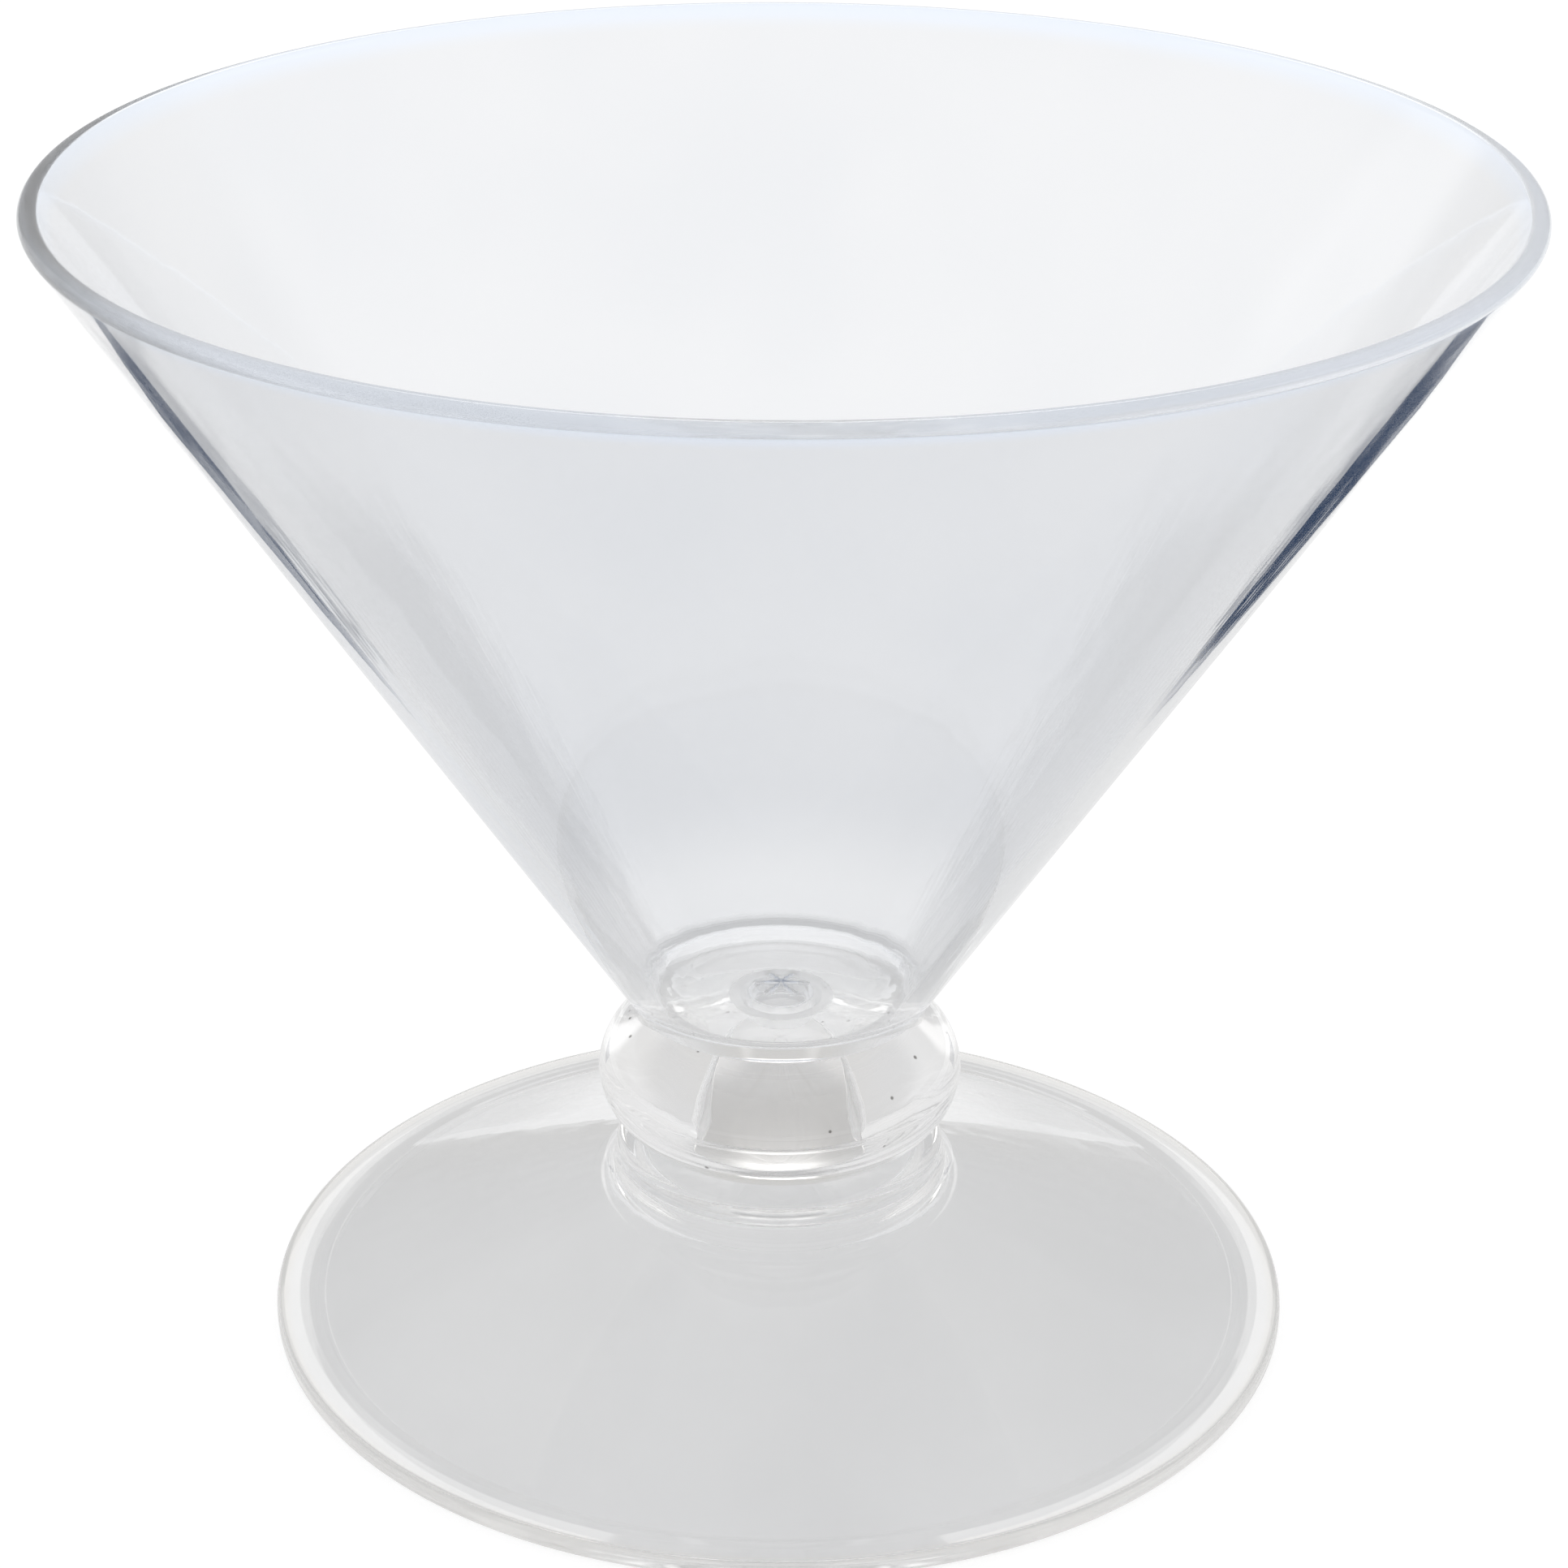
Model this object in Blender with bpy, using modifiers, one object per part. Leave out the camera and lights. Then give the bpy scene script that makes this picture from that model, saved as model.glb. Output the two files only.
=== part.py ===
"""A short-stemmed martini glass of clear plastic, made of three mouldings.

The foot is a thin conical shell with a flat rest ring, a collar and a spigot. The knob is a solid
bead that sits on the collar, with the spigot in its lower socket. The bowl is a thin cone on a
solid base, and the peg below the base pushes down into the knob's upper socket. Every piece is
turned about the Z axis, and the foot stands on Z = 0.
"""

import math

import bmesh
import bpy
from mathutils import Vector

MM = 0.001

# Bowl
RIM_DIAMETER = 114.0 * MM
BOWL_BASE_DIAMETER = 24.2 * MM
BOWL_HEIGHT = 69.5 * MM
BOWL_FLOOR_THICKNESS = 2.0 * MM
WALL_AT_RIM = 1.6 * MM
WALL_AT_FLOOR = 1.9 * MM
LIP_FILLET = 0.7 * MM
FLOOR_FILLET = 2.2 * MM
BASE_EDGE_FILLET = 0.5 * MM
GATE_MARK_DIAMETER = 2.4 * MM
GATE_MARK_HEIGHT = 0.3 * MM
PEG_DIAMETER = 5.0 * MM
PEG_LENGTH = 4.5 * MM

# Knob
KNOB_DIAMETER = 30.2 * MM
KNOB_HEIGHT = 12.2 * MM
KNOB_FLAT_DIAMETER = 15.0 * MM

# Foot
FOOT_DIAMETER = 85.3 * MM
FLANGE_WIDTH = 3.1 * MM
FLANGE_THICKNESS = 1.6 * MM
FLANGE_EDGE_FILLET = 0.6 * MM
FOOT_RISE = 10.4 * MM
FOOT_WALL = 2.0 * MM
FOOT_SWEEP_FILLET = 6.0 * MM
COLLAR_DIAMETER = 27.4 * MM
COLLAR_HEIGHT = 3.1 * MM
COLLAR_EDGE_FILLET = 0.8 * MM
COLLAR_ROOT_FILLET = 3.0 * MM
COLLAR_CEILING = 2.2 * MM
HOLLOW_FILLET = 1.0 * MM
SPIGOT_DIAMETER = 7.6 * MM
SPIGOT_LENGTH = 1.5 * MM

# Fits
SEAT_GAP = 0.3 * MM
PEG_CLEARANCE = 0.3 * MM
PEG_END_CLEARANCE = 0.4 * MM
LEAD_IN = 0.6 * MM
PEG_ROOT_FILLET = 0.3 * MM

# Smoothness of the turned surfaces
TURN_STEPS = 64
ARC_STEP = math.radians(18.0)
KNOB_ARC_POINTS = 16
MERGE_DISTANCE = 0.001 * MM


def rounded(corners):
    """Return a profile through (radius, height, fillet) corners, each rounded by its fillet."""
    points = []
    for index, (radius, height, fillet) in enumerate(corners):
        corner = Vector((radius, height))
        if fillet == 0.0:
            points.append(corner)
            continue
        to_last = (Vector(corners[index - 1][:2]) - corner).normalized()
        to_next = (Vector(corners[index + 1][:2]) - corner).normalized()
        half_angle = to_last.angle(to_next) / 2
        reach = fillet / math.tan(half_angle)
        centre = corner + (to_last + to_next).normalized() * fillet / math.sin(half_angle)
        first = corner + to_last * reach - centre
        last = corner + to_next * reach - centre
        turn = math.atan2(first.x * last.y - first.y * last.x, first.dot(last))
        spans = max(2, math.ceil(abs(turn) / ARC_STEP))
        start = math.atan2(first.y, first.x)
        for step in range(spans + 1):
            angle = start + turn * step / spans
            points.append(centre + fillet * Vector((math.cos(angle), math.sin(angle))))
    return points


def clear_plastic(name, colour, roughness):
    """Return a clear Principled material of the given tint."""
    material = bpy.data.materials.new(name)
    material.use_nodes = True
    shader = material.node_tree.nodes["Principled BSDF"]
    shader.inputs["Base Color"].default_value = (*colour, 1.0)
    shader.inputs["Roughness"].default_value = roughness
    shader.inputs["Metallic"].default_value = 0.0
    shader.inputs["Transmission Weight"].default_value = 1.0
    return material


def turned(name, profile, material, collection):
    """Return an object that turns a (radius, height) profile about the Z axis."""
    mesh = bpy.data.meshes.new(name)
    outline = bmesh.new()
    verts = [outline.verts.new((radius, 0.0, height)) for radius, height in profile]
    for near, far in zip(verts, verts[1:]):
        outline.edges.new((near, far))
    outline.to_mesh(mesh)
    outline.free()
    mesh.materials.append(material)
    piece = bpy.data.objects.new(name, mesh)
    collection.objects.link(piece)
    screw = piece.modifiers.new("Turn", "SCREW")
    screw.axis = "Z"
    screw.steps = TURN_STEPS
    screw.render_steps = TURN_STEPS
    screw.use_merge_vertices = True
    screw.merge_threshold = MERGE_DISTANCE
    screw.use_smooth_shade = True
    return piece


def bowl_profile():
    """Floor, inner wall, lip, outer wall, base and peg, with the base at height 0."""
    base = BOWL_BASE_DIAMETER / 2
    peg = PEG_DIAMETER / 2
    gate = GATE_MARK_DIAMETER / 2
    # The outer wall runs from the base's edge and just touches the lip's rounding.
    lip_centre = Vector((RIM_DIAMETER / 2 - LIP_FILLET, BOWL_HEIGHT - LIP_FILLET))
    to_lip = lip_centre - Vector((base, 0.0))
    flare = math.tan(math.atan2(to_lip.x, to_lip.y) + math.asin(LIP_FILLET / to_lip.length))
    level_wall = math.hypot(1.0, flare)
    rim = base + flare * BOWL_HEIGHT
    mouth = rim - WALL_AT_RIM * level_wall
    floor_radius = base + flare * BOWL_FLOOR_THICKNESS - WALL_AT_FLOOR * level_wall
    return rounded([
        (0.0, BOWL_FLOOR_THICKNESS + GATE_MARK_HEIGHT, 0.0),
        (gate / 2, BOWL_FLOOR_THICKNESS + GATE_MARK_HEIGHT, 0.0),
        (gate, BOWL_FLOOR_THICKNESS, 0.0),
        (floor_radius, BOWL_FLOOR_THICKNESS, FLOOR_FILLET),
        (mouth, BOWL_HEIGHT, LIP_FILLET),
        (rim, BOWL_HEIGHT, LIP_FILLET),
        (base, 0.0, BASE_EDGE_FILLET),
        (peg, 0.0, PEG_ROOT_FILLET),
        (peg, LEAD_IN - PEG_LENGTH, 0.0),
        (peg - LEAD_IN, -PEG_LENGTH, 0.0),
        (0.0, -PEG_LENGTH, 0.0),
    ])


def knob_profile():
    """Upper socket, elliptical side and lower socket, with the underside at height 0."""
    middle = KNOB_HEIGHT / 2
    flat = KNOB_FLAT_DIAMETER / 2
    bulge = KNOB_DIAMETER / 2 - flat
    upper_socket = PEG_DIAMETER / 2 + PEG_CLEARANCE
    lower_socket = SPIGOT_DIAMETER / 2 + PEG_CLEARANCE
    upper_floor = KNOB_HEIGHT + SEAT_GAP - PEG_LENGTH - PEG_END_CLEARANCE
    lower_ceiling = SPIGOT_LENGTH - SEAT_GAP + PEG_END_CLEARANCE
    profile = [
        (0.0, upper_floor),
        (upper_socket, upper_floor),
        (upper_socket, KNOB_HEIGHT - LEAD_IN),
        (upper_socket + LEAD_IN, KNOB_HEIGHT),
    ]
    for step in range(KNOB_ARC_POINTS + 1):
        angle = math.pi * (0.5 - step / KNOB_ARC_POINTS)
        profile.append((flat + bulge * math.cos(angle), middle + middle * math.sin(angle)))
    profile += [
        (lower_socket + LEAD_IN, 0.0),
        (lower_socket, LEAD_IN),
        (lower_socket, lower_ceiling),
        (0.0, lower_ceiling),
    ]
    return profile


def foot_profile():
    """Spigot, collar, conical top, flange, rest ring and hollow, with the rest ring at height 0."""
    spigot = SPIGOT_DIAMETER / 2
    collar = COLLAR_DIAMETER / 2
    edge = FOOT_DIAMETER / 2
    sweep_start = edge - FLANGE_WIDTH
    collar_root = FLANGE_THICKNESS + FOOT_RISE
    collar_top = collar_root + COLLAR_HEIGHT
    slope = FOOT_RISE / (sweep_start - collar)
    under_sweep = FLANGE_THICKNESS - FOOT_WALL * math.hypot(1.0, slope)
    hollow_edge = sweep_start + under_sweep / slope
    hollow_neck = collar - FOOT_WALL
    hollow_shoulder = under_sweep + slope * (sweep_start - hollow_neck)
    hollow_ceiling = collar_top - COLLAR_CEILING
    return rounded([
        (0.0, collar_top + SPIGOT_LENGTH, 0.0),
        (spigot - LEAD_IN, collar_top + SPIGOT_LENGTH, 0.0),
        (spigot, collar_top + SPIGOT_LENGTH - LEAD_IN, 0.0),
        (spigot, collar_top, PEG_ROOT_FILLET),
        (collar, collar_top, COLLAR_EDGE_FILLET),
        (collar, collar_root, COLLAR_ROOT_FILLET),
        (sweep_start, FLANGE_THICKNESS, FOOT_SWEEP_FILLET),
        (edge, FLANGE_THICKNESS, FLANGE_EDGE_FILLET),
        (edge, 0.0, FLANGE_EDGE_FILLET),
        (hollow_edge, 0.0, HOLLOW_FILLET),
        (hollow_neck, hollow_shoulder, HOLLOW_FILLET),
        (hollow_neck, hollow_ceiling, HOLLOW_FILLET / 2),
        (0.0, hollow_ceiling, 0.0),
    ])


def main():
    for leftover in list(bpy.data.objects):
        bpy.data.objects.remove(leftover, do_unlink=True)
    glass = bpy.data.collections.new("Martini glass")
    bpy.context.scene.collection.children.link(glass)

    foot = turned("foot", foot_profile(), clear_plastic("Foot plastic", (0.86, 0.86, 0.87), 0.04), glass)
    knob = turned("knob", knob_profile(), clear_plastic("Knob plastic", (0.87, 0.86, 0.85), 0.03), glass)
    bowl = turned("bowl", bowl_profile(), clear_plastic("Bowl plastic", (0.91, 0.92, 0.94), 0.03), glass)

    # Each piece stands on the one below it, and the bowl's origin is on the line it lifts along.
    knob.parent = foot
    knob.location.z = FLANGE_THICKNESS + FOOT_RISE + COLLAR_HEIGHT + SEAT_GAP
    bowl.parent = knob
    bowl.location.z = KNOB_HEIGHT + SEAT_GAP


main()
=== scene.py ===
# %% [markdown]
# # A clear plastic martini glass
# The glass is three mouldings: a conical bowl, a solid knob that makes the whole stem, and a foot.
# The frame already has the three pieces at their real size, with flat facets. This lesson loads that
# frame, turns each moulding again with smooth fine surfaces, gives it clear plastic, and lights it
# like a product shot. Sizes are in metres, and Z is up from the floor.

# %% Load the frame
import math

import bmesh
import bpy
from mathutils import Matrix, Vector


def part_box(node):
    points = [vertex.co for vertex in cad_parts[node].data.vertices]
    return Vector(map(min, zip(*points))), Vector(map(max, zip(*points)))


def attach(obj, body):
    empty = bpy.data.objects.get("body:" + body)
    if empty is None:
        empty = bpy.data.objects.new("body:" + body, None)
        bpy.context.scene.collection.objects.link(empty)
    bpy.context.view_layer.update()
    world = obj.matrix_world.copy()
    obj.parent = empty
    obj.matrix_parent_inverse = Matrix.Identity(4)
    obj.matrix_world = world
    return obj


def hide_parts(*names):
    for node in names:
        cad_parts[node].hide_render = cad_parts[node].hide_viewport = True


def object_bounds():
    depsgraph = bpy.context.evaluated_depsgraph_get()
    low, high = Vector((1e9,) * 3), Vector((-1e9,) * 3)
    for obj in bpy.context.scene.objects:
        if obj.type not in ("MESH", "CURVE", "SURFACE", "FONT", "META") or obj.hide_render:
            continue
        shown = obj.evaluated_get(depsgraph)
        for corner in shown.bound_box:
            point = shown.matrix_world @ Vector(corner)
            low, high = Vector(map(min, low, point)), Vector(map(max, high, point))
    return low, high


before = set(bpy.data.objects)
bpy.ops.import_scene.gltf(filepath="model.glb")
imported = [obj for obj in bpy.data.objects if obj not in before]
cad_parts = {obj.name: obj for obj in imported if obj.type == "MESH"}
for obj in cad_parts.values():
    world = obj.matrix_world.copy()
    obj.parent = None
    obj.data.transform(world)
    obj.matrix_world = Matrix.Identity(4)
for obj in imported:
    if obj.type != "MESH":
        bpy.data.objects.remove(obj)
cad_low, cad_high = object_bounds()
MM = 0.001
scene = bpy.context.scene

# %% [markdown]
# ## The camera
# The camera stands close in front of the glass, above the rim, and looks down at it. From there the
# rim is a flat ellipse and the foot a rounder one, and those two shapes fix the camera's height,
# distance and lens. The tiny roll lets the glass lean by the same hair as it does in the photograph.

# %% Camera
CAMERA_DISTANCE = 284.0 * MM
CAMERA_HEIGHT = 176.65 * MM
CAMERA_TILT = math.radians(24.54)
CAMERA_ROLL = math.radians(0.3)
CAMERA_LENS = 88.76
CAMERA_SENSOR = 36.0
CAMERA_SHIFT = 0.0018
CLIP_START = 1.0 * MM

camera_data = bpy.data.cameras.new("Camera")
camera_data.lens = CAMERA_LENS
camera_data.sensor_width = CAMERA_SENSOR
camera_data.shift_x = CAMERA_SHIFT
camera_data.clip_start = CLIP_START
camera = bpy.data.objects.new("Camera", camera_data)
scene.collection.objects.link(camera)
tilt = Matrix.Rotation(math.pi / 2 - CAMERA_TILT, 4, "X") @ Matrix.Rotation(CAMERA_ROLL, 4, "Z")
camera.matrix_world = Matrix.Translation((0.0, -CAMERA_DISTANCE, CAMERA_HEIGHT)) @ tilt
scene.camera = camera
print("camera", round(CAMERA_DISTANCE / MM), "mm in front,", round(CAMERA_HEIGHT / MM), "mm up")

# %% [markdown]
# ## Turning a profile
# All three pieces are round, so each starts as half of its section, drawn as a wire in the XZ plane.
# A fillet is an arc that starts where it leaves one straight run and is spun to where it meets the
# next. Then comes a trick that clear things need: a bent normal at the end of a long straight edge
# would bend the light all along it, so each long edge gets a holding vertex close to both ends. A full
# spin about Z makes the solid. A Screw modifier could do the same, but a spin leaves a mesh that can
# still be shaped afterwards.

# %% Profile and spin helpers
SPIN_STEPS = 320
ARC_STEP = math.radians(9.0)
HOLD = 0.08 * MM
LONG_EDGE = 0.6 * MM
MERGE = 0.001 * MM


def outline(corners):
    """Return a wire through (radius, height, fillet) corners, each rounded by its fillet."""
    mesh = bmesh.new()
    last = None
    for index, (radius, height, fillet) in enumerate(corners):
        corner = Vector((radius, height))
        start = corner
        if fillet > 0.0:
            to_last = (Vector(corners[index - 1][:2]) - corner).normalized()
            to_next = (Vector(corners[index + 1][:2]) - corner).normalized()
            half_angle = to_last.angle(to_next) / 2
            start = corner + to_last * fillet / math.tan(half_angle)
            centre = corner + (to_last + to_next).normalized() * fillet / math.sin(half_angle)
        vert = mesh.verts.new((start.x, 0.0, start.y))
        if last:
            mesh.edges.new((last, vert))
        if fillet > 0.0:
            sweep = math.copysign(math.pi - 2 * half_angle, to_last.cross(to_next))
            arc = bmesh.ops.spin(mesh, geom=[vert], cent=(centre.x, 0.0, centre.y), axis=(0, 1, 0),
                                 angle=sweep, steps=math.ceil(abs(sweep) / ARC_STEP))
            vert = arc["geom_last"][0]
        last = vert
    return mesh


def held(mesh):
    """Split each long edge close to both its ends, so that straight walls shade straight."""
    for edge in [edge for edge in mesh.edges if edge.calc_length() > LONG_EDGE]:
        near, far = edge.verts
        other = bmesh.utils.edge_split(edge, near, HOLD / edge.calc_length())[0]
        rest = edge if far in edge.verts else other
        bmesh.utils.edge_split(rest, far, HOLD / rest.calc_length())
    return mesh


def spun(mesh):
    """Turn a wire once round Z, close it and point its faces outwards."""
    bmesh.ops.spin(mesh, geom=mesh.verts[:] + mesh.edges[:], cent=(0, 0, 0), axis=(0, 0, 1),
                   angle=2 * math.pi, steps=SPIN_STEPS, use_merge=True)
    bmesh.ops.remove_doubles(mesh, verts=mesh.verts[:], dist=MERGE)
    bmesh.ops.recalc_face_normals(mesh, faces=mesh.faces[:])
    return mesh


def moulding(node, mesh, body):
    """Make a finished mesh an object that stands for a node of the frame and rides on its body."""
    data = bpy.data.meshes.new(node)
    mesh.to_mesh(data)
    mesh.free()
    data.shade_smooth()
    piece = bpy.data.objects.new(node + "_moulding", data)
    scene.collection.objects.link(piece)
    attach(piece, body)
    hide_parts(node)
    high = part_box(node)[1]
    extent = [max(vert.co[axis] for vert in data.vertices) for axis in range(3)]
    print(piece.name, len(data.polygons), "faces, top and radius off the frame by",
          [round((extent[axis] - high[axis]) / MM, 3) for axis in (2, 0)], "mm")
    return piece


# %% [markdown]
# ## The bowl
# The bowl is a thin cone that thickens a little towards its base, with a round lip and a flat floor.
# Its outer wall starts at the edge of the base and just touches the lip's rounding, so the flare is
# worked out from those two. Below the base is the peg that pushes into the knob.

# %% Bowl section
BASE_RADIUS = 12.1 * MM
FLOOR_THICKNESS = 2.0 * MM
WALL_AT_RIM = 1.6 * MM
WALL_AT_FLOOR = 1.9 * MM
LIP_FILLET = 0.7 * MM
FLOOR_FILLET = 2.2 * MM
BASE_EDGE_FILLET = 0.5 * MM
PEG_RADIUS = 2.5 * MM
PEG_LENGTH = 4.5 * MM
PEG_ROOT_FILLET = 0.3 * MM
LEAD_IN = 0.6 * MM

bowl_low, bowl_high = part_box("bowl")
base = bowl_low.z + PEG_LENGTH
floor_level = base + FLOOR_THICKNESS
lip_centre = Vector((bowl_high.x - LIP_FILLET, bowl_high.z - LIP_FILLET))
to_lip = lip_centre - Vector((BASE_RADIUS, base))
flare = math.tan(math.atan2(to_lip.x, to_lip.y) + math.asin(LIP_FILLET / to_lip.length))
level_wall = math.hypot(1.0, flare)
rim = BASE_RADIUS + flare * (bowl_high.z - base)
mouth = rim - WALL_AT_RIM * level_wall
floor_radius = BASE_RADIUS + flare * FLOOR_THICKNESS - WALL_AT_FLOOR * level_wall
flare_angle = math.degrees(math.atan(flare))
print("flare", round(flare_angle, 1), "degrees, floor radius", round(floor_radius / MM, 2), "mm")

# %% [markdown]
# In the middle of the floor is the mark of the gate, where the plastic came into the mould: a small
# star on a low swelling. Rings of vertices are added there by cutting the middle of the section into
# short edges, and after the spin the rings are lifted by a cosine that is raised to a power, which
# gives narrow rays.

# %% Bowl
GATE_RADIUS = 2.4 * MM
GATE_RINGS = 30
SWELL_HEIGHT = 0.02 * MM
STAR_HEIGHT = 0.35 * MM
STAR_RAYS = 6
RAY_SHARPNESS = 12

bowl_wire = outline([
    (0.0, floor_level, 0.0),
    (GATE_RADIUS, floor_level, 0.0),
    (floor_radius, floor_level, FLOOR_FILLET),
    (mouth, bowl_high.z, LIP_FILLET),
    (rim, bowl_high.z, LIP_FILLET),
    (BASE_RADIUS, base, BASE_EDGE_FILLET),
    (PEG_RADIUS, base, PEG_ROOT_FILLET),
    (PEG_RADIUS, bowl_low.z + LEAD_IN, 0.0),
    (PEG_RADIUS - LEAD_IN, bowl_low.z, 0.0),
    (0.0, bowl_low.z, 0.0),
])
middle = [edge for edge in bowl_wire.edges
          if all(vert.co.x <= GATE_RADIUS + MERGE and vert.co.z > base for vert in edge.verts)]
bmesh.ops.subdivide_edges(bowl_wire, edges=middle, cuts=GATE_RINGS)
bowl_mesh = spun(held(bowl_wire))
for vert in bowl_mesh.verts:
    radius = math.hypot(vert.co.x, vert.co.y)
    if radius < GATE_RADIUS and vert.co.z > base:
        fade = 1.0 - radius / GATE_RADIUS
        ray = abs(math.cos(STAR_RAYS / 2 * math.atan2(vert.co.y, vert.co.x))) ** RAY_SHARPNESS
        vert.co.z += fade * (SWELL_HEIGHT + STAR_HEIGHT * ray)
bowl = moulding("bowl", bowl_mesh, "bowl")

# %% [markdown]
# ## The knob
# The knob is a squat bead. A half circle, made by spinning one vertex, is stretched sideways into half
# an ellipse, which starts at the edge of the flat seat on top and ends at the one below. The two halves
# of its mould met at the widest line and left a fine ridge there. The wire then runs on into the two
# sockets: the upper one takes the bowl's peg, and the lower one the foot's spigot.

# %% Knob
KNOB_FLAT = 7.5 * MM
KNOB_STEPS = 64
RIDGE_HEIGHT = 0.05 * MM
RIDGE_WIDTH = 0.12 * MM
UPPER_SOCKET = 2.8 * MM
UPPER_DEPTH = 4.6 * MM
LOWER_SOCKET = 4.1 * MM
LOWER_DEPTH = 1.6 * MM


def drawn_on(mesh, start, points):
    """Draw a wire on from a vertex through (radius, height) points."""
    for radius, height in points:
        end = mesh.verts.new((radius, 0.0, height))
        mesh.edges.new((start, end))
        start = end


knob_low, knob_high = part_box("knob")
knob_middle = (knob_low.z + knob_high.z) / 2
half_height = knob_high.z - knob_middle
knob_wire = bmesh.new()
crown = knob_wire.verts.new((KNOB_FLAT, 0.0, knob_high.z))
bmesh.ops.spin(knob_wire, geom=[crown], cent=(KNOB_FLAT, 0.0, knob_middle), axis=(0, 1, 0),
               angle=math.pi, steps=KNOB_STEPS)
stretch = (knob_high.x - RIDGE_HEIGHT - KNOB_FLAT) / half_height
bmesh.ops.scale(knob_wire, vec=(stretch, 1.0, 1.0), space=Matrix.Translation((-KNOB_FLAT, 0.0, 0.0)),
                verts=knob_wire.verts[:])
equator = max(knob_wire.verts, key=lambda vert: vert.co.x)
top = max(knob_wire.verts, key=lambda vert: vert.co.z)
bottom = min(knob_wire.verts, key=lambda vert: vert.co.z)
bmesh.ops.bevel(knob_wire, geom=[equator], offset=RIDGE_WIDTH, offset_type="OFFSET",
                affect="VERTICES", segments=2, profile=0.5, material=-1)
max(knob_wire.verts, key=lambda vert: vert.co.x).co.x += RIDGE_HEIGHT
drawn_on(knob_wire, top, [
    (UPPER_SOCKET + LEAD_IN, knob_high.z),
    (UPPER_SOCKET, knob_high.z - LEAD_IN),
    (UPPER_SOCKET, knob_high.z - UPPER_DEPTH),
    (0.0, knob_high.z - UPPER_DEPTH),
])
drawn_on(knob_wire, bottom, [
    (LOWER_SOCKET + LEAD_IN, knob_low.z),
    (LOWER_SOCKET, knob_low.z + LEAD_IN),
    (LOWER_SOCKET, knob_low.z + LOWER_DEPTH),
    (0.0, knob_low.z + LOWER_DEPTH),
])
knob = moulding("knob", spun(held(knob_wire)), "base")

# %% [markdown]
# ## The foot
# The foot is a thin conical shell. It has a flat flange to stand on, a short collar that carries the
# knob, and a spigot that centres it. The underside follows the top at an even wall, so the hollow's
# corners are worked out from the slope of the cone.

# %% Foot
SPIGOT_RADIUS = 3.8 * MM
SPIGOT_LENGTH = 1.5 * MM
COLLAR_RADIUS = 13.7 * MM
COLLAR_HEIGHT = 3.1 * MM
COLLAR_EDGE_FILLET = 0.8 * MM
COLLAR_ROOT_FILLET = 3.0 * MM
COLLAR_CEILING = 2.2 * MM
FLANGE_WIDTH = 3.1 * MM
FLANGE_THICKNESS = 1.6 * MM
FLANGE_EDGE_FILLET = 0.6 * MM
SWEEP_FILLET = 6.0 * MM
FOOT_WALL = 2.0 * MM
HOLLOW_FILLET = 1.0 * MM

foot_low, foot_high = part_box("foot")
collar_top = foot_high.z - SPIGOT_LENGTH
collar_root = collar_top - COLLAR_HEIGHT
sweep_start = foot_high.x - FLANGE_WIDTH
slope = (collar_root - FLANGE_THICKNESS) / (sweep_start - COLLAR_RADIUS)
under_sweep = FLANGE_THICKNESS - FOOT_WALL * math.hypot(1.0, slope)
hollow_edge = sweep_start + under_sweep / slope
hollow_neck = COLLAR_RADIUS - FOOT_WALL
hollow_shoulder = under_sweep + slope * (sweep_start - hollow_neck)
hollow_ceiling = collar_top - COLLAR_CEILING
foot_wire = outline([
    (0.0, foot_high.z, 0.0),
    (SPIGOT_RADIUS - LEAD_IN, foot_high.z, 0.0),
    (SPIGOT_RADIUS, foot_high.z - LEAD_IN, 0.0),
    (SPIGOT_RADIUS, collar_top, PEG_ROOT_FILLET),
    (COLLAR_RADIUS, collar_top, COLLAR_EDGE_FILLET),
    (COLLAR_RADIUS, collar_root, COLLAR_ROOT_FILLET),
    (sweep_start, FLANGE_THICKNESS, SWEEP_FILLET),
    (foot_high.x, FLANGE_THICKNESS, FLANGE_EDGE_FILLET),
    (foot_high.x, foot_low.z, FLANGE_EDGE_FILLET),
    (hollow_edge, foot_low.z, HOLLOW_FILLET),
    (hollow_neck, hollow_shoulder, HOLLOW_FILLET),
    (hollow_neck, hollow_ceiling, HOLLOW_FILLET / 2),
    (0.0, hollow_ceiling, 0.0),
])
foot = moulding("foot", spun(held(foot_wire)), "base")

# %% [markdown]
# ## Sums in a shader
# A finish is a handful of patterns that are mixed by arithmetic. Nodes for that are long to write one
# by one, so a small class wraps a socket: adding or multiplying two of them adds a Math node, and any
# other node comes from one method.


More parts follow.
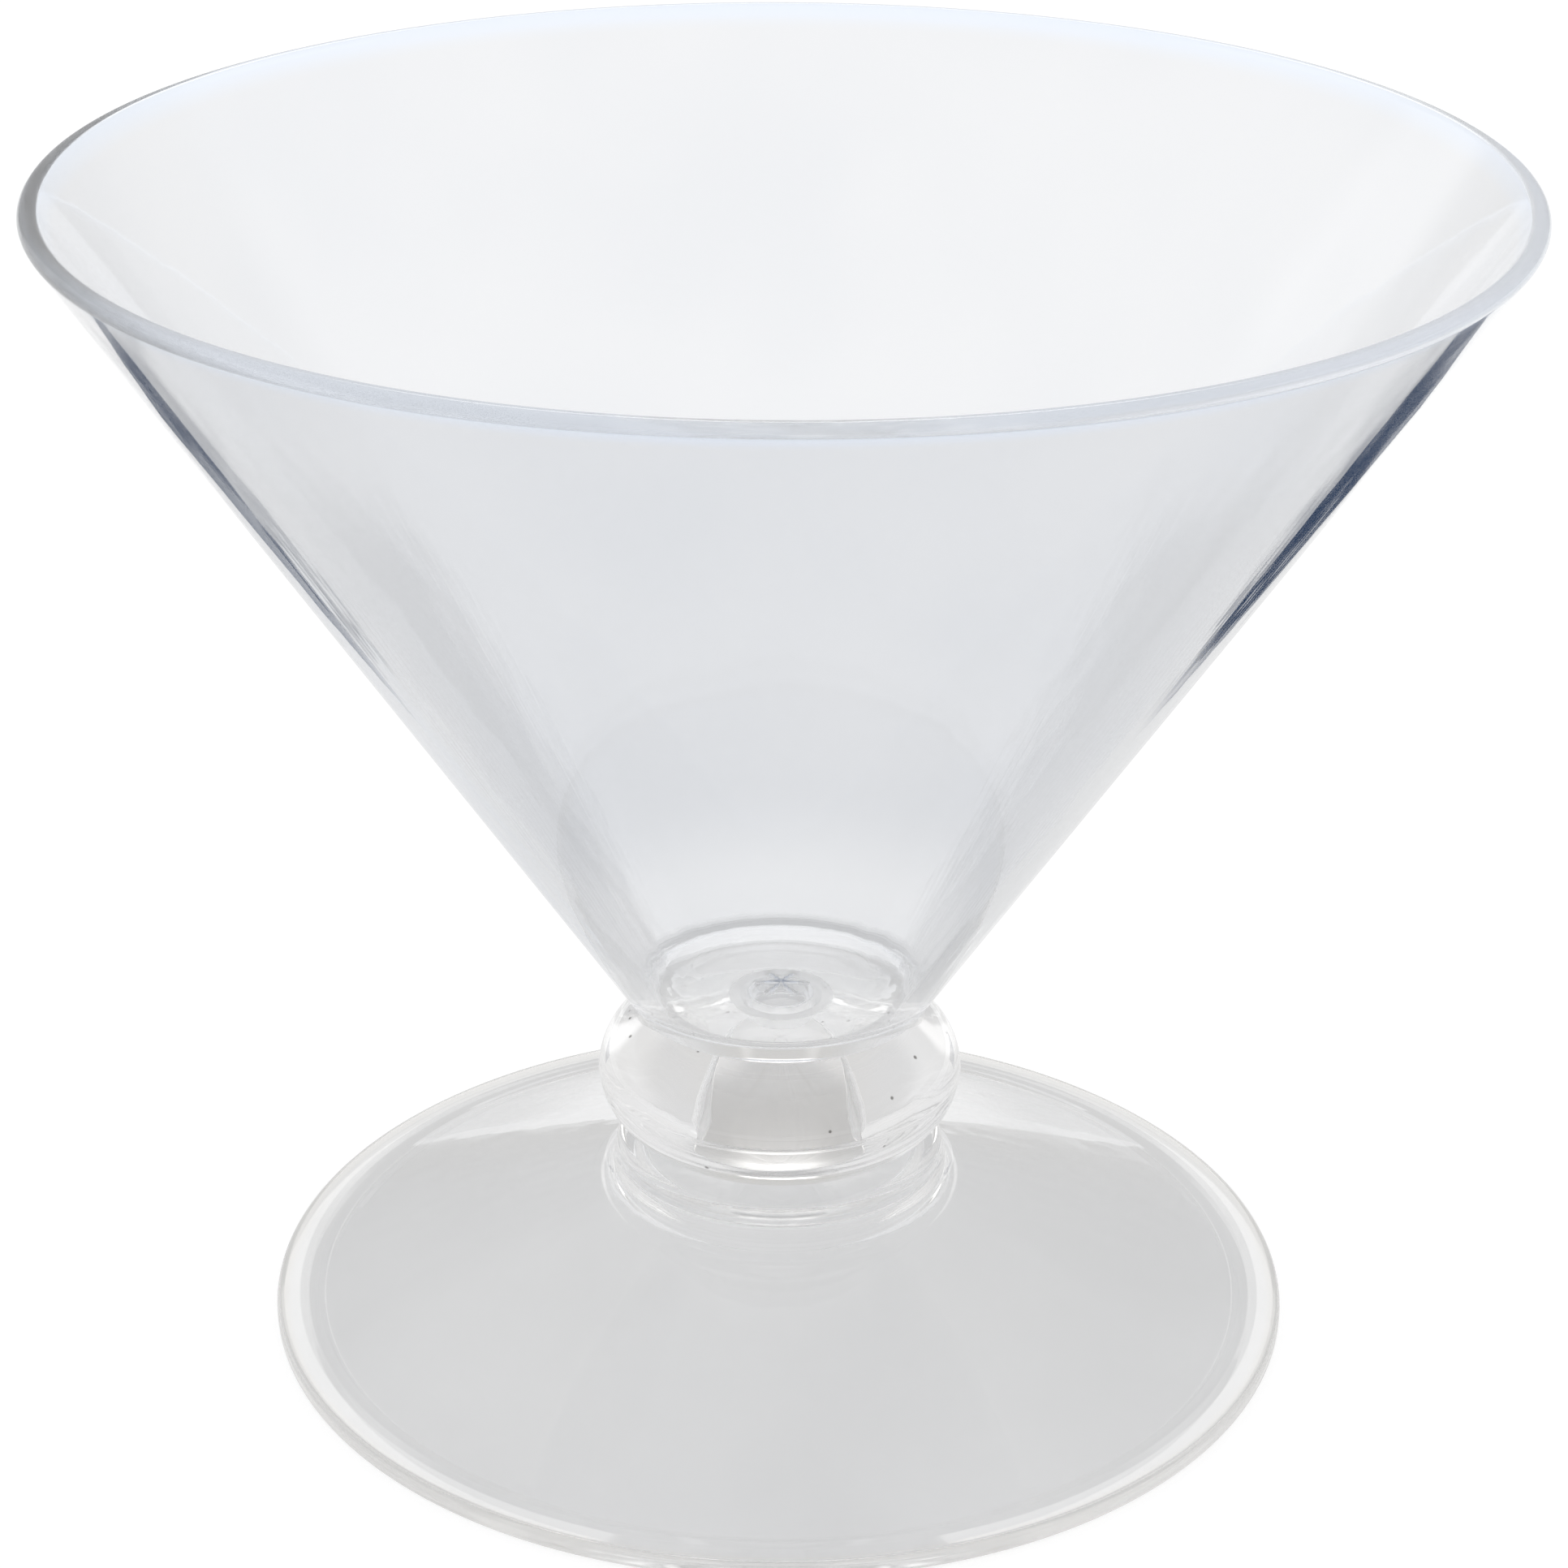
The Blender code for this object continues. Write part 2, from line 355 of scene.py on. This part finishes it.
# %% Shader sums
class Link:
    """An output in a node tree. Sums written with it add Math nodes to the tree."""

    def __init__(self, tree, socket=None):
        self.tree = tree
        self.socket = socket

    def node(self, kind, settings=None, values=None, output=0):
        """Add a node with its settings, then fill or link its sockets, and return an output."""
        made = self.tree.nodes.new(kind)
        for name, setting in (settings or {}).items():
            setattr(made, name, setting)
        for name, value in (values or {}).items():
            if isinstance(value, Link):
                self.tree.links.new(value.socket, made.inputs[name])
            else:
                made.inputs[name].default_value = value
        return Link(self.tree, made.outputs[output])

    def maths(self, operation, first, second=0.0):
        return self.node("ShaderNodeMath", {"operation": operation}, {0: first, 1: second})

    def __add__(self, other):
        return self.maths("ADD", self, other)

    __radd__ = __add__

    def __sub__(self, other):
        return self.maths("SUBTRACT", self, other)

    def __rsub__(self, other):
        return self.maths("SUBTRACT", other, self)

    def __mul__(self, other):
        return self.maths("MULTIPLY", self, other)

    __rmul__ = __mul__

    def __abs__(self):
        return self.maths("ABSOLUTE", self)

    def step(self, start, end):
        """Rise smoothly from 0 at start to 1 at end."""
        return self.node("ShaderNodeMapRange", {"interpolation_type": "SMOOTHSTEP"},
                         {"Value": self, "From Min": start, "From Max": end})

    def within(self, low, high, soft):
        """Be 1 from low to high, with soft ends, and 0 elsewhere."""
        return self.step(low - soft, low) * (1.0 - self.step(high, high + soft))

    def other(self, output):
        """Return another output of the same node."""
        return Link(self.tree, self.socket.node.outputs[output])

    def axis(self, index):
        """Return one of the three numbers of a vector."""
        return self.node("ShaderNodeSeparateXYZ", values={0: self}, output=index)

    def vector(self, operation, *values, output=0):
        return self.node("ShaderNodeVectorMath", {"operation": operation}, dict(enumerate(values)),
                         output)

    def blend(self, low, high):
        """Mix two colours, low where this is 0 and high where it is 1."""
        return self.node("ShaderNodeMix", {"data_type": "RGBA"}, {0: self, 6: low, 7: high}, output=2)

    def feed(self, socket):
        """Link this output to an input of a shader."""
        self.tree.links.new(self.socket, socket)


# %% [markdown]
# ## Clear plastic
# Clear plastic bends light like glass, with an index of refraction of about 1.57. What makes it look
# moulded and not cut is small: haze and fine wiping marks from use, and waves along the lines that the
# melt flowed. These patterns read the Object coordinates, which here are metres from the middle of the
# foot. Waves along the flow come from noise that is read at the direction from the axis, so they run up
# the wall as straight lines.

# %% Clear plastic and its patterns
PLASTIC_IOR = 1.57
LEVEL = (1.0, 1.0, 0.0)
FLOW_DETAIL = 1.0


def coordinates(shader):
    """Return the place on the piece that a shader belongs to."""
    return Link(shader.id_data).node("ShaderNodeTexCoord", output="Object")


def clear_plastic(piece, name):
    """Give a piece a clear material, and return its shader."""
    material = bpy.data.materials.new(name)
    material.use_nodes = True
    piece.data.materials.append(material)
    shader = material.node_tree.nodes["Principled BSDF"]
    shader.inputs["Transmission Weight"].default_value = 1.0
    shader.inputs["IOR"].default_value = PLASTIC_IOR
    return shader


def off_axis(place):
    """Return the distance from the line that the glass was turned about."""
    return place.vector("LENGTH", place.vector("MULTIPLY", place, LEVEL), output="Value")


def noise(place, size, detail):
    """Return a cloudy pattern from 0 to 1 whose clouds are about the given size."""
    return place.node("ShaderNodeTexNoise",
                      values={"Vector": place, "Scale": 1.0 / size, "Detail": detail})


def flow(place, waves, drift):
    """Return streaks that run from foot to rim, and change a little over the drift height."""
    around = place.vector("NORMALIZE", place.vector("MULTIPLY", place, LEVEL))
    upward = place.vector("MULTIPLY_ADD", place, (0.0, 0.0, 1.0 / drift), around)
    return noise(upward, 1.0 / waves, FLOW_DETAIL)


def finish(shader, colour, roughness, height, depth):
    """Link a finish to a shader. The height, from 0 to 1, becomes bumps of the given depth."""
    colour.feed(shader.inputs["Base Color"])
    roughness.feed(shader.inputs["Roughness"])
    bump = height.node("ShaderNodeBump", values={"Strength": 1.0, "Distance": depth, "Height": height})
    bump.feed(shader.inputs["Normal"])
    print(shader.id_data.name, len(shader.id_data.nodes), "nodes")


# %% [markdown]
# ## The bowl's finish
# The wall is the part that is held, wiped and stacked, so it has a faint cool haze, which is also
# painted shade that greys the wall. The haze stops short of the thick clear floor, which stays lighter.
# The lip is painted bluer and darker, as painted shade for the look along the inside of the wall. The
# star at the gate is painted darker and bluer, as painted shade. Fine wiping marks go round the bowl,
# and noise that is squeezed along Z makes them.

# %% Bowl finish
CLEAR_COLOUR = (0.985, 0.987, 0.99, 1.0)
# The two haze colours are also painted shade that greys the wall; the floor is left clear and lighter.
THIN_HAZE_AND_SHADE = (0.855, 0.863, 0.878, 1.0)
THICK_HAZE_AND_SHADE = (0.825, 0.837, 0.858, 1.0)
# Painted shade: the lip is darker and bluer, for the look along the inside of the wall.
LIP_PAINTED_SHADE = (0.84, 0.89, 0.97, 1.0)
# Painted shade: the star at the gate is darker and bluer.
GATE_PAINTED_SHADE = (0.5, 0.56, 0.68, 1.0)
HAZE_AND_SHADE_EDGE = (31.0 * MM, 40.0 * MM)
LIP_EDGE = (95.4 * MM, 96.6 * MM)
STACKED_EDGE = (60.0 * MM, 96.6 * MM)
GATE_EDGE = (0.8 * GATE_RADIUS, GATE_RADIUS)
GATE_LEVEL = (floor_level + 0.04 * MM, floor_level + 0.2 * MM)
CLOUDS = (0.3, 0.7)
CLOUD_SIZE = 28.0 * MM
SOFT_DETAIL = 2.0
FINE_DETAIL = 3.0
WIPE_SQUEEZE = (1.0, 1.0, 40.0)
WIPE_SIZE = 9.0 * MM
BOWL_POLISH = 0.008
WIPED_DULLNESS = 0.012
STACKED_DULLNESS = 0.03
LIP_DULLNESS = 0.03
WALL_WAVES = 9.0
WALL_DRIFT = 60.0 * MM
WALL_BUMPS = 0.03 * MM

bowl_shader = clear_plastic(bowl, "Bowl plastic")
place = coordinates(bowl_shader)
height = place.axis(2)
haze_and_shade = height.step(*HAZE_AND_SHADE_EDGE)
lip = height.step(*LIP_EDGE)
gate = (1.0 - off_axis(place).step(*GATE_EDGE)) * height.step(*GATE_LEVEL)
wipes = noise(place.vector("MULTIPLY", place, WIPE_SQUEEZE), WIPE_SIZE, FINE_DETAIL)
# The haze colours serve as wear and as painted shade on the wall.
clouds = noise(place, CLOUD_SIZE, SOFT_DETAIL).step(*CLOUDS).blend(THIN_HAZE_AND_SHADE, THICK_HAZE_AND_SHADE)
# The lip's colour is painted shade for the look along the wall.
colour = lip.blend(haze_and_shade.blend(CLEAR_COLOUR, clouds), LIP_PAINTED_SHADE)
# The gate is painted darker and bluer, as painted shade.
colour = gate.blend(colour, GATE_PAINTED_SHADE)
wear = WIPED_DULLNESS * haze_and_shade * wipes + STACKED_DULLNESS * height.step(*STACKED_EDGE)
waves = haze_and_shade * flow(place, WALL_WAVES, WALL_DRIFT)
finish(bowl_shader, colour, BOWL_POLISH + wear + LIP_DULLNESS * lip, waves, WALL_BUMPS)

# %% [markdown]
# ## The knob's finish
# The knob is thick, so its plastic looks warmer and shows the specks that are caught in it: a Voronoi
# texture scatters them, and only a share of its cells gets one. Polishing marks in the mould left fine
# rings, which a Wave texture makes. The sockets are scuffed where the peg and the spigot went in, and
# that softens the lines of the peg inside the knob.

# %% Knob finish
PALE_KNOB = (0.955, 0.957, 0.963, 1.0)
WARM_KNOB = (0.93, 0.925, 0.915, 1.0)
SPECK_COLOUR = (0.09, 0.085, 0.08, 1.0)
SPECK_SPACING = 2.6 * MM
SPECK_EDGE = (0.132 * MM, 0.22 * MM)
SPECK_SHARE = 0.8
SPECK_CUT = 0.001
TINT_SIZE = 9.0 * MM
DULL_SIZE = 3.0 * MM
RING_SIZE = 0.9 * MM
WAVE_PERIOD = 0.3
RING_WOBBLE = 1.5
RING_SHARE = 0.02
KNOB_POLISH = 0.012
KNOB_DULLNESS = 0.02
SCUFF = 0.32
SCUFF_EDGE = (LOWER_SOCKET + 0.1 * MM, LOWER_SOCKET + LEAD_IN)
KNOB_WAVES = 5.0
KNOB_DRIFT = 8.0 * MM
KNOB_BUMPS = 0.02 * MM

knob_shader = clear_plastic(knob, "Knob plastic")
place = coordinates(knob_shader)
distance = place.node("ShaderNodeTexVoronoi", values={"Vector": place, "Scale": 1.0 / SPECK_SPACING})
chosen = distance.other("Color").axis(0).step(1.0 - SPECK_SHARE, 1.0 - SPECK_SHARE + SPECK_CUT)
specks = chosen * (1.0 - distance.step(*[edge / SPECK_SPACING for edge in SPECK_EDGE]))
tint = noise(place, TINT_SIZE, SOFT_DETAIL).step(*CLOUDS).blend(PALE_KNOB, WARM_KNOB)
sockets = 1.0 - off_axis(place).step(*SCUFF_EDGE)
wear = KNOB_DULLNESS * noise(place, DULL_SIZE, SOFT_DETAIL).step(*CLOUDS) + SCUFF * sockets
rings = place.node("ShaderNodeTexWave", {"wave_type": "BANDS", "bands_direction": "Z"},
                   {"Vector": place, "Scale": WAVE_PERIOD / RING_SIZE, "Distortion": RING_WOBBLE,
                    "Detail": SOFT_DETAIL})
waves = flow(place, KNOB_WAVES, KNOB_DRIFT) + RING_SHARE * rings
finish(knob_shader, specks.blend(tint, SPECK_COLOUR), KNOB_POLISH + wear, waves, KNOB_BUMPS)

# %% [markdown]
# ## The foot's finish
# The foot is what the glass is slid about on, so it is the most worn piece: it is duller. Its edge is
# painted a little darker and yellower, as painted shade for the thick wall seen end on. The melt ran
# out from the collar, so the streaks here are spokes.

# %% Foot finish
PALE_FOOT = (0.94, 0.944, 0.95, 1.0)
DULL_FOOT = (0.905, 0.909, 0.915, 1.0)
# Painted shade: the edge is darker and yellower, for the thick wall seen end on.
FOOT_EDGE_SHADE = (0.9, 0.892, 0.875, 1.0)
FOOT_EDGE_SHADE_RADII = (41.2 * MM, 42.4 * MM)
WEAR_SIZE = 20.0 * MM
RUB_SIZE = 6.0 * MM
FOOT_POLISH = 0.02
RUBBED_DULLNESS = 0.04
SPOKE_WAVES = 7.0
SPOKE_DRIFT = 15.0 * MM
RIPPLE_SIZE = 4.0 * MM
RIPPLE_SHARE = 0.2
SPOKE_BUMPS = 0.02 * MM

foot_shader = clear_plastic(foot, "Foot plastic")
place = coordinates(foot_shader)
colour = noise(place, WEAR_SIZE, FINE_DETAIL).step(*CLOUDS).blend(PALE_FOOT, DULL_FOOT)
# The foot's edge is painted darker and yellower, as painted shade.
colour = off_axis(place).step(*FOOT_EDGE_SHADE_RADII).blend(colour, FOOT_EDGE_SHADE)
wear = RUBBED_DULLNESS * noise(place, RUB_SIZE, FINE_DETAIL).step(*CLOUDS)
ripples = RIPPLE_SHARE * noise(place, RIPPLE_SIZE, SOFT_DETAIL)
spokes = flow(place, SPOKE_WAVES, SPOKE_DRIFT) + ripples
finish(foot_shader, colour, FOOT_POLISH + wear, spokes, SPOKE_BUMPS)

# %% [markdown]
# ## The floor
# The glass stands on a sheet of white acrylic that also glows from below, as in a product studio. The
# glow takes away most of the shadow, so that the page round the glass stays white. Clear plastic finds
# the light by bouncing, so no glowing sheet is sampled as a lamp as well.

# %% Floor
FLOOR_REACH = 5.0
FLOOR_DROP = 0.05 * MM
FLOOR_GLOW = 0.8
FLOOR_PALE = (0.31, 0.31, 0.31, 1.0)
FLOOR_DULL = (0.29, 0.29, 0.29, 1.0)
FLOOR_GRAIN = 2.0 * MM
SHEET_ROUGHNESS = 0.9
WHITE = (1.0, 1.0, 1.0, 1.0)


def sheet(name, corners, matrix, glow):
    """Make a flat glowing sheet, with corners one unit from its middle."""
    mesh = bmesh.new()
    bmesh.ops.create_circle(mesh, cap_ends=True, segments=corners, radius=1.0, matrix=matrix)
    data = bpy.data.meshes.new(name)
    mesh.to_mesh(data)
    mesh.free()
    material = bpy.data.materials.new(name)
    material.use_nodes = True
    material.cycles.emission_sampling = "NONE"
    data.materials.append(material)
    piece = bpy.data.objects.new(name, data)
    scene.collection.objects.link(piece)
    shader = material.node_tree.nodes["Principled BSDF"]
    shader.inputs["Roughness"].default_value = SHEET_ROUGHNESS
    shader.inputs["Emission Color"].default_value = WHITE
    shader.inputs["Emission Strength"].default_value = glow
    return piece, shader


spot = Matrix.Translation((0.0, 0.0, cad_low.z - FLOOR_DROP)) @ Matrix.Scale(FLOOR_REACH, 4)
floor, floor_shader = sheet("Floor", 4, spot, FLOOR_GLOW)
grain = noise(coordinates(floor_shader), FLOOR_GRAIN, FINE_DETAIL)
grain.blend(FLOOR_PALE, FLOOR_DULL).feed(floor_shader.inputs["Base Color"])
print(floor.name, round(FLOOR_DROP / MM, 2), "mm under the foot")

# %% [markdown]
# ## Cards and a mat that only the glass shows
# A clear thing in white surroundings has no edges. Photographers lay dark cards beside it, just out of
# the picture: close to the outline, the wall of the bowl acts as a mirror and shows them as dark
# streaks. The two cards here are long triangles that lie on the floor and point at the foot, the larger
# one on the right. They fade out near the glass, and so do the streaks. They are hidden from the camera
# and cast no shadow, so that they appear in the glass alone.

# %% Cards
CARD_LIFT = 0.3 * MM
CARD_COLOUR = (0.0, 0.03, 0.1, 1.0)
CARD_FADE = (76.0 * MM, 106.0 * MM)
CARDS = (
    ("Right card", (104.0 * MM, 114.0 * MM), (60.0 * MM, 128.0 * MM), math.radians(145.0)),
    ("Left card", (-99.0 * MM, 106.0 * MM), (38.0 * MM, 104.0 * MM), math.radians(-144.0)),
)
TRIANGLE_WIDTH = math.sqrt(3.0)
TRIANGLE_LENGTH = 1.5


def hide(piece):
    """Let a sheet appear only where the glass mirrors it or lets it through."""
    piece.visible_camera = False
    piece.visible_diffuse = False
    piece.visible_shadow = False


for name, (across, back), (width, length), turn in CARDS:
    spot = Matrix.Translation((across, back, CARD_LIFT)) @ Matrix.Rotation(turn, 4, "Z")
    spread = Matrix.Diagonal((width / TRIANGLE_WIDTH, length / TRIANGLE_LENGTH, 1.0, 1.0))
    card, card_shader = sheet(name, 3, spot @ spread, 0.0)
    hide(card)
    card_shader.inputs["Base Color"].default_value = CARD_COLOUR
    off_axis(coordinates(card_shader)).step(*CARD_FADE).feed(card_shader.inputs["Alpha"])
    print(name, "middle in mm", [round(value / MM) for value in spot.translation])

# %% [markdown]
# The clear foot takes the tone of what it stands on, and its far slopes mirror what lies behind it. A
# pale grey mat gives both the same grey. It leaves a gap behind the glass, which widens away from it,
# so that the bowl still has white behind it.

# %% Mat
MAT_DROP = 0.02 * MM
MAT_CORNERS = 64
MAT_COLOUR = (0.3, 0.3, 0.3, 1.0)
MAT_GLOW = 0.6
MAT_REACH = 200.0 * MM
MAT_FADE = (150.0 * MM, 200.0 * MM)
GAP_FLARE = 0.3
GAP_START = (42.0 * MM, 60.0 * MM)
GAP_SIDE = (-2.0 * MM, 12.0 * MM)

spot = Matrix.Translation((0.0, 0.0, cad_low.z - MAT_DROP)) @ Matrix.Scale(MAT_REACH, 4)
mat, mat_shader = sheet("Mat", MAT_CORNERS, spot, MAT_GLOW)
hide(mat)
mat_shader.inputs["Base Color"].default_value = MAT_COLOUR
place = coordinates(mat_shader)
beside = abs(place.axis(0)) - GAP_FLARE * place.axis(1)
gap = place.axis(1).step(*GAP_START) * (1.0 - beside.step(*GAP_SIDE))
cover = (1.0 - off_axis(place).step(*MAT_FADE)) * (1.0 - gap)
cover.feed(mat_shader.inputs["Alpha"])
print("mat", round(MAT_REACH / MM), "mm from the middle to its edge")

# %% [markdown]
# ## Light
# Light bounces many times inside clear walls, so the bounce limits are high: with the default of 4
# glossy bounces the lip would be black. The Standard view shows white as white.

# %% Bounces
BOUNCES = 256

scene.view_settings.view_transform = "Standard"
scene.cycles.max_bounces = BOUNCES
scene.cycles.glossy_bounces = BOUNCES
scene.cycles.transmission_bounces = BOUNCES
print("up to", BOUNCES, "bounces")

# %% [markdown]
# The light is a plain white dome, painted by direction: each range below is how far across, back or up
# the direction points. The knob is a lens that turns the view upside down and shows the wall behind the
# glass, so a dimmer, warmer wall makes the knob grey. A strip light above that wall is mirrored by the
# floor of the bowl. A window at each side glints in the edges of the knob, and a panel behind the left
# shoulder gives the bowl a lighter side. Like the sheets, the dome isn't sampled as a lamp.

# %% Studio light
DOME = 0.84
BEHIND = (0.0, 0.1)
WALL = 0.62
WALL_BACK = (0.4, 0.62)
WALL_TOP = (0.45, 0.6)
WALL_TOP_SHARE = 0.5
WARM = (1.0, 0.985, 0.96, 1.0)
WARM_SIDES = (-0.2, 0.2, 0.2)
STRIP = 1.35
STRIP_SIDES = (-0.12, 0.12, 0.08)
STRIP_HEIGHT = (0.45, 0.6, 0.04)
WINDOW = 0.3
WINDOW_SIDE = (0.86, 0.94)
WINDOW_HEIGHT = (0.18, 0.38, 0.08)
PANEL = 0.35
PANEL_SIDES = (-0.76, -0.6, 0.1)
PANEL_TOP = (0.36, 0.44)

world = bpy.data.worlds.new("Studio")
scene.world = world
world.use_nodes = True
world.cycles.sampling_method = "NONE"
background = world.node_tree.nodes["Background"]
way = Link(world.node_tree).node("ShaderNodeTexCoord", output="Generated")
across, back, up = [way.axis(index) for index in range(3)]
behind = back.step(*BEHIND)
wall = back.step(*WALL_BACK) * (1.0 - WALL_TOP_SHARE * up.step(*WALL_TOP))
strip = behind * across.within(*STRIP_SIDES) * up.within(*STRIP_HEIGHT)
windows = abs(across).step(*WINDOW_SIDE) * up.within(*WINDOW_HEIGHT)
panel = behind * across.within(*PANEL_SIDES) * (1.0 - up.step(*PANEL_TOP))
strength = DOME - (DOME - WALL) * wall + STRIP * strip + WINDOW * windows + PANEL * panel
strength.feed(background.inputs["Strength"])
(wall * across.within(*WARM_SIDES)).blend(WHITE, WARM).feed(background.inputs["Color"])
print("light from", DOME, "overhead to", WALL, "at the wall behind")
